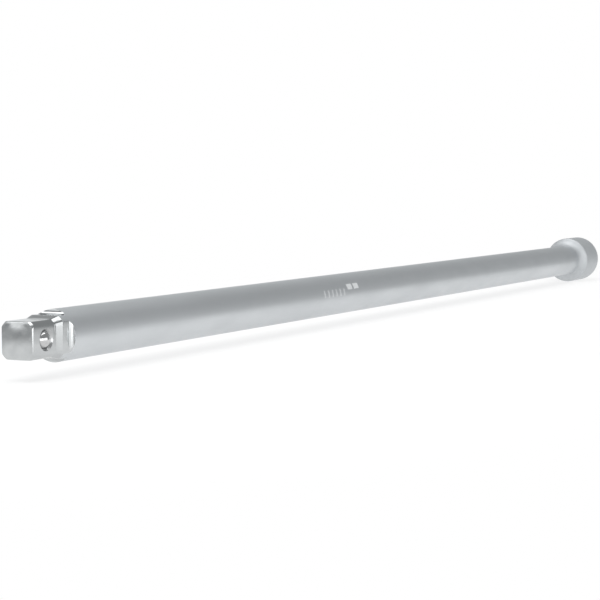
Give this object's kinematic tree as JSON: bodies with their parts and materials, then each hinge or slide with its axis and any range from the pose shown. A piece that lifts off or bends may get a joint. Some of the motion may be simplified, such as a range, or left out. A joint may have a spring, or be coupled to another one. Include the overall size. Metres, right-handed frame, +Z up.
{
  "type": "socket extension bar",
  "caption": "Long round chrome drive bar with a male square and spring-loaded detent ball at one end and a flared head with a female square socket at the other.",
  "frame": {"origin": "centre of the flat front face of the male square tang", "axes": "+X along the bar from the tang to the socket head, +Z up, the detent ball in the tang's -Y face"},
  "size_m": [0.6, 0.0272, 0.0272],
  "materials": {
    "bar_chrome": "satin chrome on the shank and head, polished on the square and collar",
    "ball_steel": "polished bearing steel",
    "spring_steel": "drawn spring wire, lightly oiled"
  },
  "bodies": {
    "bar": {"extension_bar": "bar_chrome", "detent_spring": "spring_steel"},
    "ball": {"detent_ball": "ball_steel"}
  },
  "joints": [
    {"name": "ball_press", "type": "slide", "parent": "bar", "child": "ball", "axis": [0, 1, 0], "range_m": [0, 0.0011], "stiffness_N_per_m": 5000, "springref_m": -0.001, "deforming": ["detent_spring"]}
  ]
}
